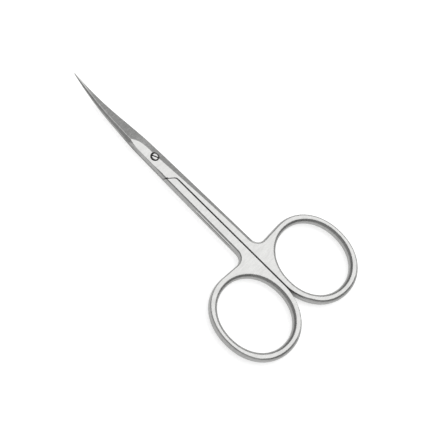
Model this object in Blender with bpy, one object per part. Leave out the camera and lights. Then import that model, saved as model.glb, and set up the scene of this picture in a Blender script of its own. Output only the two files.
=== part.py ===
"""Curved nail scissors: two forged halves that cross at a half-lap joint, and a slotted pivot screw.

The closed tool lies on its back on z = 0 with its tips towards +Y. The upper half carries the screw's
head and the finger ring at +X. The lower half is the same forging turned half a turn about the tool's
long axis, with its blade bent the other way so that both blades curve up together.

Each half is worked out in a frame of its own: x across the tool, y along it from the pivot, and h, the
height above the face on which the halves slide. That face is flat at the joint and curls up with the
blades.
"""

import math

import bmesh
import bpy
from mathutils import Vector

# Whole tool, in metres
OVERALL_LENGTH = 0.0900
TIP_REACH = 0.0300
THICKNESS = 0.0030

# Clearances between the pieces
MATING_GAP = 0.00015
SHANK_GAP = 0.0003
RUNNING_CLEARANCE = 0.00005
THREAD_CLEARANCE = 0.00005
HEAD_CLEARANCE = 0.00025
SEAT_GAP = 0.0001

# Joint plates and shanks: half widths on either side of the long axis
JOINT_HALF_WIDTH = 0.00224
SHANK_HALF_WIDTH = 0.00256
BEVEL_WIDTH_AT_JOINT = 0.0019
BEVEL_WIDTH_AT_WEB = 0.00075
BEVEL_FADE = 1.6
BEVEL_SLOPE = 0.46
BACK_EDGE_ROUND = 0.00045
SPLIT_EDGE_BREAK = 0.00008

# The joint plate's outer side leans in at the front, and turns into a round edge near the shoulder
PLATE_DRAFT = 0.00029
PLATE_ROUNDNESS = 0.65
PLATE_WEAR_START = 0.001
PLATE_WEAR_END = 0.006
PLATE_CORNER_SHARE = 0.8

# Shoulders, where each joint plate ends against the other half's shank
SHOULDER_REACH = 0.00785
SHOULDER_ANGLE = math.radians(36.5)
SHOULDER_LEAN = math.radians(21.0)
SHOULDER_ROUND = 0.0003

# Blades
GRIND_START = 0.0076
GRIND_SWEEP = 4.6
TAPER_START = 0.0060
TAPER_ROUND = 0.0015
TAPER_POWER = 1.03
TIP_HALF_WIDTH = 0.00009
CURVE_START = 0.0145
TIP_RISE = 0.0033
RIDGE_SHARE = 0.60
RIDGE_LAND = 0.00012
RIDGE_TAPER = 0.8
RIDGE_BEND = 3.0
SPINE_SHARE = 0.57
EDGE_LAND = 0.00008

# Finger rings: the oval hole at its narrowest, and the metal around it
RING_HOLE_WIDTH = 0.01805
RING_HOLE_LENGTH = 0.02055
RING_SIDE_WALL = 0.00205
RING_TOP_WALL = 0.0023
RING_END_WALL = 0.00247
RING_SQUARENESS = 2.1
RING_INNER_ROUND = 0.00095
RING_OUTER_ROUND = 0.00065
RING_END_ROUND = 0.00115
RING_END_POWER = 6.0
RING_EDGE_BAND = 0.0002
RING_FADE = 0.17

# Web between shank and ring
WEB_FILLET = 0.00265
WEB_TILT = math.radians(3.0)

# Pivot screw
HEAD_DIAMETER = 0.0020
HEAD_RIM = 0.00042
HEAD_DOME = 0.0003
HEAD_DEPTH = 0.0007
SLOT_WIDTH = 0.00035
SLOT_DEPTH = 0.0005
SLOT_ANGLE = math.radians(115.0)
JOURNAL_DIAMETER = 0.0015
THREAD_DIAMETER = 0.0013
SCREW_END_RECESS = 0.0001

# Finish of the steel: (red, green, blue) and roughness
HALF_COLOUR = (0.66, 0.66, 0.65)
HALF_ROUGHNESS = 0.30
SCREW_COLOUR = (0.60, 0.60, 0.60)
SCREW_ROUGHNESS = 0.22

# Fineness of the mesh: steps in an edge, round a curve, or along a stretch of the half
EDGE_STEPS = 4
RING_STEPS = 56
FILLET_STEPS = 9
WEB_STEPS = 4
SPLIT_STEPS = 6
ROUND_STEPS = 40
DOME_STEPS = 5
CURVE_STEPS = 20
STRAIGHT_BLADE_STEPS = 6
GRIND_STEPS = 14
PLATE_STEPS = 4
SHOULDER_STEPS = 18
SHANK_STEPS = 8
SHARP_ANGLE = math.radians(30.0)

UPPER = 1
LOWER = -1
MID_HEIGHT = THICKNESS / 2
PIVOT_Y = OVERALL_LENGTH / 2 - TIP_REACH
RING_END_REACH = OVERALL_LENGTH - TIP_REACH
MATING_HEIGHT = MATING_GAP / 2
SHOULDER_END = -SHOULDER_REACH - 2.0 * SHOULDER_ROUND
CUTTER_MARGIN = THICKNESS


def smooth_step(value):
    """Return 0 below 0, 1 above 1, and a smooth S between."""
    value = min(max(value, 0.0), 1.0)
    return value * value * (3.0 - 2.0 * value)


def mix(start, end, share):
    """Return the value that lies a share of the way from start to end."""
    return start + (end - start) * share


def past(value, round_size):
    """Return nearly 0 well below 0 and nearly the value well above, turning through a hyperbola."""
    return (value + math.hypot(value, round_size)) / 2.0


def slide_rise(y):
    """Return how far the sliding face has curled up at y, along an arc tangent to the flat joint.

    Past the tip the face stays at the tip's height.
    """
    run = min(y, TIP_REACH) - CURVE_START
    if run <= 0.0:
        return 0.0
    reach = TIP_REACH - CURVE_START
    radius = (reach**2 + TIP_RISE**2) / (2.0 * TIP_RISE)
    return radius - math.sqrt(radius**2 - run**2)


def half_width(y):
    """Return the half width at y: a straight taper on the shank, and a blade that narrows gently."""
    if y <= 0.0:
        share = min(-y / web_reach(), 1.0)
        return mix(JOINT_HALF_WIDTH, SHANK_HALF_WIDTH, share)
    share = past(y - TAPER_START, TAPER_ROUND) / past(TIP_REACH - TAPER_START, TAPER_ROUND)
    return mix(JOINT_HALF_WIDTH, TIP_HALF_WIDTH, share**TAPER_POWER)


def bevel_width(y):
    """Return the width of the long bevel on the shank's outer front edge."""
    share = min(max(1.0 + y / web_reach(), 0.0), 1.0)
    return mix(BEVEL_WIDTH_AT_WEB, BEVEL_WIDTH_AT_JOINT, share**BEVEL_FADE)


def split_x(y, h, offset):
    """Return where the parting line between the halves lies at y and h, moved across by offset.

    The line runs straight down the middle between the shanks and turns out along the shoulder
    through a round corner. The shoulder leans back below the front face.
    """
    lean = math.tan(SHOULDER_LEAN) * (MID_HEIGHT - max(h, 0.0))
    beyond = y + SHOULDER_REACH - lean
    return offset - past(beyond, SHOULDER_ROUND) / math.tan(SHOULDER_ANGLE)


def edge_profile(inset, drop, roundness):
    """Return (inset, drop) pairs from a face to its side, as a chamfer, a quarter ellipse or between."""
    points = []
    for step in range(EDGE_STEPS + 1):
        share = step / EDGE_STEPS
        angle = share * math.pi / 2.0
        flat = ((1.0 - share) * inset, share * drop)
        curved = ((1.0 - math.sin(angle)) * inset, (1.0 - math.cos(angle)) * drop)
        points.append((mix(flat[0], curved[0], roundness), mix(flat[1], curved[1], roundness)))
    return points


def full_column(front, back):
    """Return (inset, h) pairs down one side of the full thickness, from (inset, drop, roundness) pairs."""
    points = [(inset, MID_HEIGHT - drop) for inset, drop in edge_profile(*front)]
    points += [(inset, drop - MID_HEIGHT) for inset, drop in reversed(edge_profile(*back))]
    return points


def blade_heights(y):
    """Return the blade's heights at y: its ridge, the top of its spine and its cutting edge."""
    plate = MID_HEIGHT - MATING_HEIGHT
    taper = (half_width(y) / half_width(GRIND_START)) ** RIDGE_TAPER
    ridge = MATING_HEIGHT + plate * min(taper, 1.0)
    spine = MATING_HEIGHT + SPINE_SHARE * (ridge - MATING_HEIGHT)
    edge = MATING_HEIGHT + EDGE_LAND
    return ridge, spine, min(edge, ridge)


def ridge_x(y):
    """Return where the blade's ridge runs: nearer the spine at the root, towards the middle at the tip."""
    share = (y - GRIND_START) / (TIP_REACH - GRIND_START)
    return -RIDGE_SHARE * (1.0 - max(share, 0.0) ** RIDGE_BEND) * half_width(y)


def right_column(y):
    """Return (x, h) points down the outer side at y, where the shank's bevel turns into the blade's."""
    width = half_width(y)
    if y <= 0.0:
        top = MID_HEIGHT
        inset = bevel_width(y)
        drop = inset * BEVEL_SLOPE
        back_inset = BACK_EDGE_ROUND
    else:
        top, _, cutting_edge = blade_heights(y)
        swept = min(y / GRIND_START, 1.0)
        root_edge = MID_HEIGHT - BEVEL_WIDTH_AT_JOINT * BEVEL_SLOPE
        top_x = mix(width - BEVEL_WIDTH_AT_JOINT, ridge_x(y) + RIDGE_LAND / 2.0, swept**GRIND_SWEEP)
        inset = width - top_x
        drop = top - mix(root_edge, cutting_edge, swept)
        back_inset = 0.0
    points = [(width - step_in, top - down) for step_in, down in edge_profile(inset, drop, 0.0)]
    back = edge_profile(back_inset, BACK_EDGE_ROUND, 1.0)
    points += [(width - step_in, up - MID_HEIGHT) for step_in, up in reversed(back)]
    return points


def left_column(y):
    """Return (x, h) points down the inner side at y: the parting line, the joint plate or the spine."""
    width = half_width(y)
    plate_drop = MID_HEIGHT - MATING_GAP
    if y <= 0.0:
        top = MID_HEIGHT
        beside = -split_x(y, MID_HEIGHT, 0.0) / width
        outside = smooth_step((beside - PLATE_CORNER_SHARE) / (1.0 - PLATE_CORNER_SHARE))
        worn = smooth_step((-y - PLATE_WEAR_START) / (PLATE_WEAR_END - PLATE_WEAR_START))
        inset = mix(SPLIT_EDGE_BREAK, mix(PLATE_DRAFT, BACK_EDGE_ROUND, worn), outside)
        drop = mix(SPLIT_EDGE_BREAK, mix(plate_drop, BACK_EDGE_ROUND, worn), outside)
        roundness = mix(PLATE_ROUNDNESS, 1.0, worn) * outside
    else:
        top, spine, _ = blade_heights(y)
        swept = min(y / GRIND_START, 1.0) ** GRIND_SWEEP
        inset = width + mix(PLATE_DRAFT - width, ridge_x(y) - RIDGE_LAND / 2.0, swept)
        drop = mix(plate_drop, top - spine, swept)
        roundness = PLATE_ROUNDNESS * (1.0 - swept)
    pairs = [(step_in, top - down) for step_in, down in edge_profile(inset, drop, roundness)]
    back = edge_profile(SPLIT_EDGE_BREAK, SPLIT_EDGE_BREAK, 0.0)
    pairs += [(step_in, up - MID_HEIGHT) for step_in, up in reversed(back)]
    return [(max(split_x(y, h, SHANK_GAP / 2.0), -width) + step_in, h) for step_in, h in pairs]


def ring_sizes():
    """Return the centres and half sizes of the ring's outer oval and of its hole."""
    outer_half_width = RING_HOLE_WIDTH / 2.0 + RING_SIDE_WALL
    outer_half_length = (RING_HOLE_LENGTH + RING_TOP_WALL + RING_END_WALL) / 2.0
    centre_x = SHANK_GAP / 2.0 + outer_half_width
    outer_y = outer_half_length - RING_END_REACH
    hole_y = RING_END_WALL + RING_HOLE_LENGTH / 2.0 - RING_END_REACH
    outer = (centre_x, outer_y, outer_half_width, outer_half_length)
    hole = (centre_x, hole_y, RING_HOLE_WIDTH / 2.0, RING_HOLE_LENGTH / 2.0)
    return outer, hole


def oval_point(oval, angle):
    """Return the point of a slightly squared oval at an angle, as a superellipse."""
    centre_x, centre_y, half_across, half_along = oval
    power = 2.0 / RING_SQUARENESS
    cosine, sine = math.cos(angle), math.sin(angle)
    x = centre_x + half_across * math.copysign(abs(cosine) ** power, cosine)
    y = centre_y + half_along * math.copysign(abs(sine) ** power, sine)
    return x, y


def web_tangent():
    """Return the angle and the point where the web's sloping edge touches the ring's outer oval.

    There the oval's normal leans by the web's tilt, which fixes the point on a superellipse.
    """
    centre_x, centre_y, half_across, half_along = ring_sizes()[0]
    power = 1.0 / (RING_SQUARENESS - 1.0)
    across = (half_across * math.sin(WEB_TILT)) ** power
    along = (half_along * math.cos(WEB_TILT)) ** power
    size = (across**RING_SQUARENESS + along**RING_SQUARENESS) ** (1.0 / RING_SQUARENESS)
    angle = math.pi - math.acos((across / size) ** (RING_SQUARENESS / 2.0))
    return angle, (centre_x - half_across * across / size, centre_y + half_along * along / size)


def web_reach():
    """Return how far below the pivot the fillet between shank and web starts."""
    touch_x, touch_y = web_tangent()[1]
    fillet_end_x = SHANK_HALF_WIDTH + WEB_FILLET * (1.0 + math.sin(WEB_TILT))
    fillet_end_y = touch_y - (touch_x - fillet_end_x) * math.tan(WEB_TILT)
    return -(fillet_end_y + WEB_FILLET * math.cos(WEB_TILT))


def handle_outline():
    """Return (x, y, free, on_split) points round web and ring, from the outer side to the parting line.

    The outline is a fillet, a sloping straight edge, the outer oval and the straight parting line.
    free runs from 0, where the edge belongs to the shank, to 1, where it is part of the open ring.
    on_split tells the end at the parting line from the end at the shank's outer side.
    """
    start_y = -web_reach()
    turn = math.pi / 2.0 + WEB_TILT
    points = []
    for step in range(FILLET_STEPS + 1):
        share = step / FILLET_STEPS
        angle = math.pi + turn * share
        x = SHANK_HALF_WIDTH + WEB_FILLET * (1.0 + math.cos(angle))
        y = start_y + WEB_FILLET * math.sin(angle)
        points.append((x, y, smooth_step(share), False))
    fillet_x, fillet_y = points[-1][:2]
    touch_angle, (touch_x, touch_y) = web_tangent()
    for step in range(1, WEB_STEPS):
        share = step / WEB_STEPS
        points.append((mix(fillet_x, touch_x, share), mix(fillet_y, touch_y, share), 1.0, False))
    outer = ring_sizes()[0]
    for step in range(RING_STEPS + 1):
        share = step / RING_STEPS
        x, y = oval_point(outer, mix(touch_angle, -math.pi, share))
        points.append((x, y, smooth_step((1.0 - share) / RING_FADE), share > 0.5))
    parting_x, ring_y = points[-1][:2]
    for step in range(1, SPLIT_STEPS + 1):
        points.append((parting_x, mix(ring_y, start_y, step / SPLIT_STEPS), 0.0, True))
    return points


def handle_edge(y, free, inset, drop, roundness):
    """Return the (inset, drop, roundness) of an edge between the shank's own and the ring's round edge.

    The ring's rounding grows towards its far end.
    """
    _, centre_y, _, half_along = ring_sizes()[0]
    end = max((centre_y - y) / half_along, 0.0) ** RING_END_POWER
    ring_inset = mix(RING_OUTER_ROUND, RING_END_ROUND, end)
    ring_drop = MID_HEIGHT - RING_EDGE_BAND / 2.0
    return mix(inset, ring_inset, free), mix(drop, ring_drop, free), mix(roundness, 1.0, free)


def handle_columns():
    """Return the columns of (x, y, h) points round web and ring."""
    outline = handle_outline()
    last = len(outline) - 1
    web_bevel = (BEVEL_WIDTH_AT_WEB, BEVEL_WIDTH_AT_WEB * BEVEL_SLOPE, 0.0)
    web_round = (BACK_EDGE_ROUND, BACK_EDGE_ROUND, 1.0)
    split_break = (SPLIT_EDGE_BREAK, SPLIT_EDGE_BREAK, 0.0)
    columns = []
    for index, (x, y, free, on_split) in enumerate(outline):
        before = outline[max(index - 1, 0)]
        after = outline[min(index + 1, last)]
        along = Vector((after[0] - before[0], after[1] - before[1])).normalized()
        inward = Vector((along.y, -along.x))
        if index == 0:
            inward = Vector((-1.0, 0.0))
        if index == last:
            inward = Vector((1.0, 0.0))
        front = handle_edge(y, free, *(split_break if on_split else web_bevel))
        back = handle_edge(y, free, *(split_break if on_split else web_round))
        column = [(x + inward.x * inset, y + inward.y * inset, h) for inset, h in full_column(front, back)]
        columns.append(column)
    return columns


def hole_columns():
    """Return the columns of (x, y, h) points round the finger hole, rounded like a bead."""
    hole = ring_sizes()[1]
    drop = MID_HEIGHT - RING_EDGE_BAND / 2.0
    edge = (RING_INNER_ROUND, drop, 1.0)
    columns = []
    for step in range(RING_STEPS):
        angle = 2.0 * math.pi * step / RING_STEPS
        x, y = oval_point(hole, angle)
        outward = Vector((x - hole[0], y - hole[1]))
        outward = Vector((outward.x / hole[2] ** 2, outward.y / hole[3] ** 2)).normalized()
        column = [(x + outward.x * inset, y + outward.y * inset, h) for inset, h in full_column(edge, edge)]
        columns.append(column)
    return columns


def spread(start, end, count):
    """Return count evenly spaced values from start up to, but not including, end."""
    return [mix(start, end, step / count) for step in range(count)]


def stations():
    """Return the y places of the cross sections from the tip down to the web, closer where more bends."""
    outer_corner = -SHOULDER_REACH + JOINT_HALF_WIDTH * math.tan(SHOULDER_ANGLE)
    highest_lean = math.tan(SHOULDER_LEAN) * MID_HEIGHT
    shoulder_start = outer_corner + highest_lean + SHOULDER_ROUND
    places = spread(TIP_REACH, CURVE_START, CURVE_STEPS)
    places += spread(CURVE_START, GRIND_START, STRAIGHT_BLADE_STEPS)
    places += spread(GRIND_START, 0.0, GRIND_STEPS)
    places += spread(0.0, shoulder_start, PLATE_STEPS)
    places += spread(shoulder_start, SHOULDER_END, SHOULDER_STEPS)
    places += spread(SHOULDER_END, -web_reach(), SHANK_STEPS)
    places.append(-web_reach())
    return places


def place(side, x, y, h):
    """Return a half's point in the tool's frame; the lower half is the upper one turned over."""
    return Vector((side * x, PIVOT_Y + y, MID_HEIGHT + slide_rise(y) + side * h))


def add_columns(mesh, side, columns):
    """Add the vertices of some columns of (x, y, h) points and return them column by column."""
    return [[mesh.verts.new(place(side, *point)) for point in column] for column in columns]


def skin(mesh, columns, closed):
    """Join neighbouring columns with quads; a closed skin joins the last column to the first."""
    count = len(columns)
    last = count if closed else count - 1
    for index in range(last):
        here, there = columns[index], columns[(index + 1) % count]
        for row in range(len(here) - 1):
            mesh.faces.new((here[row], there[row], there[row + 1], here[row + 1]))


def fill_face(mesh, outline, hole):
    """Fill the flat face between an outline and a hole, both given as rings of vertices."""
    edges = []
    for ring in (outline, hole):
        for index, vertex in enumerate(ring):
            following = ring[(index + 1) % len(ring)]
            edge = mesh.edges.get((vertex, following)) or mesh.edges.new((vertex, following))
            edges.append(edge)
    bmesh.ops.triangle_fill(mesh, use_beauty=True, edges=edges)


def blank_mesh(side, name):
    """Build one half as a closed skin at full thickness, before the other half's room is cut out."""
    mesh = bmesh.new()
    places = stations()
    right = [[(x, y, h) for x, h in right_column(y)] for y in places]
    left = [[(x, y, h) for x, h in left_column(y)] for y in places]
    handle = handle_columns()
    right_vertices = add_columns(mesh, side, right[:-1])
    handle_vertices = add_columns(mesh, side, handle)
    left_vertices = add_columns(mesh, side, left[:-1])
    hole_vertices = add_columns(mesh, side, hole_columns())
    skin(mesh, right_vertices + handle_vertices + left_vertices[::-1], closed=True)
    skin(mesh, hole_vertices[::-1], closed=True)
    right_side = right_vertices + [handle_vertices[0]]
    left_side = left_vertices + [handle_vertices[-1]]
    for index in range(len(places) - 1):
        for row in (0, -1):
            corners = (right_side[index], right_side[index + 1], left_side[index + 1], left_side[index])
            mesh.faces.new([column[row] for column in corners])
    for row in (0, -1):
        outline = [column[row] for column in handle_vertices]
        fill_face(mesh, outline, [column[row] for column in hole_vertices])
    bmesh.ops.recalc_face_normals(mesh, faces=mesh.faces)
    data = bpy.data.meshes.new(name)
    mesh.to_mesh(data)
    mesh.free()
    return data


def cutter_mesh(side, name):
    """Build the room for the other half: its joint plate and blade, with the gaps that keep it free."""
    mesh = bmesh.new()
    top = MATING_HEIGHT
    bottom = -THICKNESS
    far_left = -JOINT_HALF_WIDTH - CUTTER_MARGIN
    far_right = JOINT_HALF_WIDTH + CUTTER_MARGIN
    heights = (top, 0.0, -MID_HEIGHT, bottom)
    loops = []
    for y in [TIP_REACH + CUTTER_MARGIN] + stations():
        if y < SHOULDER_END - CUTTER_MARGIN:
            break
        if y < 0.0:
            edge = [(min(-split_x(y, -h, -SHANK_GAP / 2.0), far_right), h) for h in heights]
        else:
            edge = [(far_right, h) for h in heights]
        section = edge + [(far_left, bottom), (far_left, top)]
        loops.append([mesh.verts.new(place(side, x, y, h)) for x, h in section])
    for here, there in zip(loops, loops[1:]):
        for index in range(len(here)):
            following = (index + 1) % len(here)
            mesh.faces.new((here[index], here[following], there[following], there[index]))
    mesh.faces.new(loops[0])
    mesh.faces.new(loops[-1])
    bmesh.ops.recalc_face_normals(mesh, faces=mesh.faces)
    data = bpy.data.meshes.new(name)
    mesh.to_mesh(data)
    mesh.free()
    return data


def cylinder_mesh(name, diameter, low, high):
    """Build an upright cylinder about the pivot axis between two heights."""
    mesh = bmesh.new()
    bmesh.ops.create_cone(
        mesh,
        cap_ends=True,
        segments=ROUND_STEPS,
        radius1=diameter / 2.0,
        radius2=diameter / 2.0,
        depth=high - low,
    )
    bmesh.ops.translate(mesh, verts=mesh.verts, vec=(0.0, PIVOT_Y, (high + low) / 2.0))
    data = bpy.data.meshes.new(name)
    mesh.to_mesh(data)
    mesh.free()
    return data


def steel(name, colour, roughness):
    """Return a metallic material."""
    material = bpy.data.materials.new(name)
    material.use_nodes = True
    shader = material.node_tree.nodes["Principled BSDF"]
    shader.inputs["Base Color"].default_value = (*colour, 1.0)
    shader.inputs["Metallic"].default_value = 1.0
    shader.inputs["Roughness"].default_value = roughness
    return material


def add_object(name, data):
    """Link a mesh into the scene as an object whose origin sits on the pivot axis."""
    thing = bpy.data.objects.new(name, data)
    bpy.context.scene.collection.objects.link(thing)
    for vertex in data.vertices:
        vertex.co.y -= PIVOT_Y
    thing.location = (0.0, PIVOT_Y, 0.0)
    return thing


def cut_away(target, cutter):
    """Take a cutter's volume out of the target with a live Boolean, and hide the cutter."""
    cutter.hide_render = True
    cutter.display_type = "WIRE"
    modifier = target.modifiers.new("Cut " + cutter.name, "BOOLEAN")
    modifier.operation = "DIFFERENCE"
    modifier.solver = "EXACT"
    modifier.object = cutter


def finish_shading(thing, material):
    """Give the object its material and smooth its round faces."""
    thing.data.materials.append(material)
    thing.data.shade_smooth()
    thing.data.set_sharp_from_angle(angle=SHARP_ANGLE)


def make_upper_half(material):
    """Make the half with the counterbored hole for the screw's head and journal."""
    half = add_object("upper_half", blank_mesh(UPPER, "upper_half"))
    cut_away(half, add_object("upper_room", cutter_mesh(UPPER, "upper_room")))
    top = THICKNESS + CUTTER_MARGIN
    sink = cylinder_mesh("head_sink", HEAD_DIAMETER + 2.0 * HEAD_CLEARANCE, THICKNESS - HEAD_DEPTH, top)
    cut_away(half, add_object("head_sink", sink))
    bore = cylinder_mesh("journal_bore", JOURNAL_DIAMETER + 2.0 * RUNNING_CLEARANCE, 0.0, top)
    cut_away(half, add_object("journal_bore", bore))
    finish_shading(half, material)
    return half


def make_lower_half(material):
    """Make the half with the hole that holds the screw's threaded end."""
    half = add_object("lower_half", blank_mesh(LOWER, "lower_half"))
    cut_away(half, add_object("lower_room", cutter_mesh(LOWER, "lower_room")))
    diameter = THREAD_DIAMETER + 2.0 * THREAD_CLEARANCE
    hole = cylinder_mesh("thread_hole", diameter, -CUTTER_MARGIN, THICKNESS)
    cut_away(half, add_object("thread_hole", hole))
    finish_shading(half, material)
    return half


def screw_profile():
    """Return (radius, z) points of the screw from its domed top to its threaded end."""
    head_radius = HEAD_DIAMETER / 2.0
    underside = THICKNESS - HEAD_DEPTH + SEAT_GAP
    rim = underside + HEAD_RIM
    profile = [(0.0, rim + HEAD_DOME)]
    for step in range(1, DOME_STEPS + 1):
        angle = math.pi / 2.0 * step / DOME_STEPS
        profile.append((head_radius * math.sin(angle), rim + HEAD_DOME * math.cos(angle)))
    profile.append((head_radius, underside))
    profile.append((JOURNAL_DIAMETER / 2.0, underside))
    shoulder = MID_HEIGHT - MATING_HEIGHT + SEAT_GAP
    profile.append((JOURNAL_DIAMETER / 2.0, shoulder))
    profile.append((THREAD_DIAMETER / 2.0, shoulder))
    profile.append((THREAD_DIAMETER / 2.0, SCREW_END_RECESS))
    profile.append((0.0, SCREW_END_RECESS))
    return profile


def make_pivot_screw(material):
    """Spin the screw's profile about the pivot axis and cut the driver slot."""
    mesh = bmesh.new()
    vertices = [mesh.verts.new((radius, PIVOT_Y, z)) for radius, z in screw_profile()]
    edges = [mesh.edges.new(pair) for pair in zip(vertices, vertices[1:])]
    bmesh.ops.spin(
        mesh,
        geom=vertices + edges,
        cent=(0.0, PIVOT_Y, 0.0),
        axis=(0.0, 0.0, 1.0),
        angle=2.0 * math.pi,
        steps=ROUND_STEPS,
        use_merge=True,
    )
    bmesh.ops.remove_doubles(mesh, verts=mesh.verts, dist=0.000001)
    bmesh.ops.recalc_face_normals(mesh, faces=mesh.faces)
    data = bpy.data.meshes.new("pivot_screw")
    mesh.to_mesh(data)
    mesh.free()
    screw = add_object("pivot_screw", data)

    head_top = screw_profile()[0][1]
    slot_mesh = bmesh.new()
    bmesh.ops.create_cube(slot_mesh, size=1.0)
    scale = (HEAD_DIAMETER + CUTTER_MARGIN, SLOT_WIDTH, SLOT_DEPTH + CUTTER_MARGIN)
    bmesh.ops.scale(slot_mesh, verts=slot_mesh.verts, vec=scale)
    slot_data = bpy.data.meshes.new("driver_slot")
    slot_mesh.to_mesh(slot_data)
    slot_mesh.free()
    slot = bpy.data.objects.new("driver_slot", slot_data)
    bpy.context.scene.collection.objects.link(slot)
    slot.location = (0.0, PIVOT_Y, head_top + (CUTTER_MARGIN - SLOT_DEPTH) / 2.0)
    slot.rotation_euler = (0.0, 0.0, SLOT_ANGLE)
    cut_away(screw, slot)
    finish_shading(screw, material)
    return screw


def main():
    """Clear the scene and make the scissors."""
    for thing in list(bpy.data.objects):
        bpy.data.objects.remove(thing, do_unlink=True)
    make_upper_half(steel("upper_steel", HALF_COLOUR, HALF_ROUGHNESS))
    make_lower_half(steel("lower_steel", HALF_COLOUR, HALF_ROUGHNESS))
    make_pivot_screw(steel("screw_steel", SCREW_COLOUR, SCREW_ROUGHNESS))


main()
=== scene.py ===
"""Curved nail scissors in satin steel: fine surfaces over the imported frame, finishes and a stage.

Each half is worked out in a frame of its own: x across the tool, y along it from the pivot, and h,
the height above the face on which the halves slide. The lower half is the upper one turned half a
turn about the tool's long axis, with its blade bent the other way.
"""

import math

import bmesh
import bpy
import numpy as np
from bpy.props import FloatProperty, FloatVectorProperty, PointerProperty
from mathutils import Matrix, Vector


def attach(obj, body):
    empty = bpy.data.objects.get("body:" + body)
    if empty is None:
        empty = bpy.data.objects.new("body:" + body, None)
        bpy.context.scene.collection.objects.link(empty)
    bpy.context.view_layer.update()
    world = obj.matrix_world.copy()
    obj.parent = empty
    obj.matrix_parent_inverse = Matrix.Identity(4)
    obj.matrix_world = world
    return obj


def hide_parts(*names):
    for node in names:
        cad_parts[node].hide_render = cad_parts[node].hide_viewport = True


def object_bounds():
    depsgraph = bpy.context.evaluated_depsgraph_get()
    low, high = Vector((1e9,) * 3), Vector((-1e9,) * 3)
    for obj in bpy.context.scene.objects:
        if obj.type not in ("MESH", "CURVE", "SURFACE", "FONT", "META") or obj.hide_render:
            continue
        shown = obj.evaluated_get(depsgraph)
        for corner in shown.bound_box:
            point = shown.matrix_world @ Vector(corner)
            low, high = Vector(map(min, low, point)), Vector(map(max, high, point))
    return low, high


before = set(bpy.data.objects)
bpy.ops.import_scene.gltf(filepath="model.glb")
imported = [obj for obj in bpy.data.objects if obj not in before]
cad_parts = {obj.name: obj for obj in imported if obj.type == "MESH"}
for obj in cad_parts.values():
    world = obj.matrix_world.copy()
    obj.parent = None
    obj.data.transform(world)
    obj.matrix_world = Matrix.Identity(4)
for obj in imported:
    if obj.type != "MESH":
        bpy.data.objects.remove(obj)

bl_info = {
    "name": "Nail Scissors",
    "version": (1, 0, 0),
    "blender": (4, 5, 0),
    "location": "View3D > Sidebar > Scissors",
    "description": "Curved nail scissors in satin steel, with a plain stage",
    "category": "Add Mesh",
}

CAD_LOW, CAD_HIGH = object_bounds()

UPPER = 1
LOWER = -1

# Small sizes that the eye hardly reads, in metres
MATING_GAP = 0.00015
SHANK_GAP = 0.0003
RUNNING_CLEARANCE = 0.00005
THREAD_CLEARANCE = 0.00005
HEAD_CLEARANCE = 0.00025
SEAT_GAP = 0.0001
SPLIT_EDGE_BREAK = 0.00008
TIP_HALF_WIDTH = 0.00009
RIDGE_LAND = 0.00012
EDGE_LAND = 0.00008
RING_EDGE_BAND = 0.0002
SCREW_END_RECESS = 0.0001

# Where the joint plate's edge turns into the shank's: the parting line's share of the half width at
# which the corner begins, and the stretch below the pivot on which the edge wears round, in metres
PLATE_CORNER = 0.8
PLATE_WEAR_START = 0.001
PLATE_WEAR_END = 0.006

# Power with which the roundings of the ring and its hole grow towards their ends
RING_END_POWER = 6.0

# How far the cutters reach past the metal, and the least that the groove's wedge does, in metres
CUTTER_MARGIN = 0.003
GROOVE_HAIR = 0.000004

# How upright a face is, as the size of its normal's z: up to the first it counts as a side wall, from
# the second as a flat, from the third as exactly level
SIDE_UPRIGHT = 0.2
FLAT_UPRIGHT = 0.93
LEVEL_UPRIGHT = 0.99999

# Angle from which an edge is sharp, and the weight of large faces in the normals
SHARP_ANGLE = math.radians(22.0)
LARGE_FACE_WEIGHT = 80

# Painted shade in the gap round the screw: side share from which a face is a wall of the sink, start
# of the head's rim as a share of its radius, and a tolerance in metres
SINK_WALL_SIDE = 0.9
RIM_START = 0.86
HAIR = 0.00001

# Painted shade beside the blade's root: place and length along the tool in metres, side share from
# which a face is the spine's wall, lean of its round edge, and the depths of the shade on both
SPINE_SHADE_PLACE = 0.0073
SPINE_SHADE_LENGTH = 0.0032
WALL_SIDE = 0.8
ROUND_LEAN = 0.2
SPINE_SHADE_SHARE = 0.5
SPINE_ROUND_SHARE = 0.22

# Painted shade where the two rings face each other: start below the pivot, length of its rise and
# distance from the parting line at which it fades, in metres, side share from which it is full, and its
# depth
RING_GAP_START = 0.040
RING_GAP_LENGTH = 0.012
RING_GAP_FADE = 0.0004
RING_GAP_FULL = 0.5
RING_GAP_SHARE = 0.7

# Painted shade in the groove, whose reach is a share of its height, and on the round edges before the
# grind; painted shade on the blade's level ridge, as a fixed side share
GROOVE_SHADE_REACH = 1.0 / 3.0
GROOVE_SHADE_SHARE = 0.85
EDGE_SHADE_SHARE = 0.4
RIDGE_UPRIGHT = 0.98
RIDGE_SHADE_SHARE = 0.6

# Steel: how the noises are stretched across the tool, their detail, the part of their range that is
# used, and the spread of colour and roughness round the settings
BRUSH_STRETCH = (0.25, 1.0, 0.25)
GRAIN_DETAIL = 3.0
GRAIN_STRENGTH = 0.5
BRUSH_DETAIL = 2.0
BRUSH_RANGE = (0.3, 0.7)
BRUSH_SHADES = (0.90, 1.03)
BRUSH_ROUGHNESS = (0.9, 1.15)

# Stage: the camera's sensor in millimetres and reach in metres, the floor, the lamp and the parts of
# the room's unit sphere on which its walls and its ceiling blend
SENSOR_WIDTH = 36.0
CAMERA_REACH = (0.01, 10.0)
FLOOR_HEIGHT = -0.00005
FLOOR_RADIUS = 1.5
FLOOR_CORNERS = 96
KEY_PLACE = (0.235, 0.0, 0.54)
KEY_SIZE = (0.66, 0.9)
SIDE_WALL_BLEND = (-0.8, 0.8)
END_WALL_BLEND = (0.4, 1.0)
CEILING_BLEND = (0.0, 0.95)
WHITE = (1.0, 1.0, 1.0, 1.0)

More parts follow.
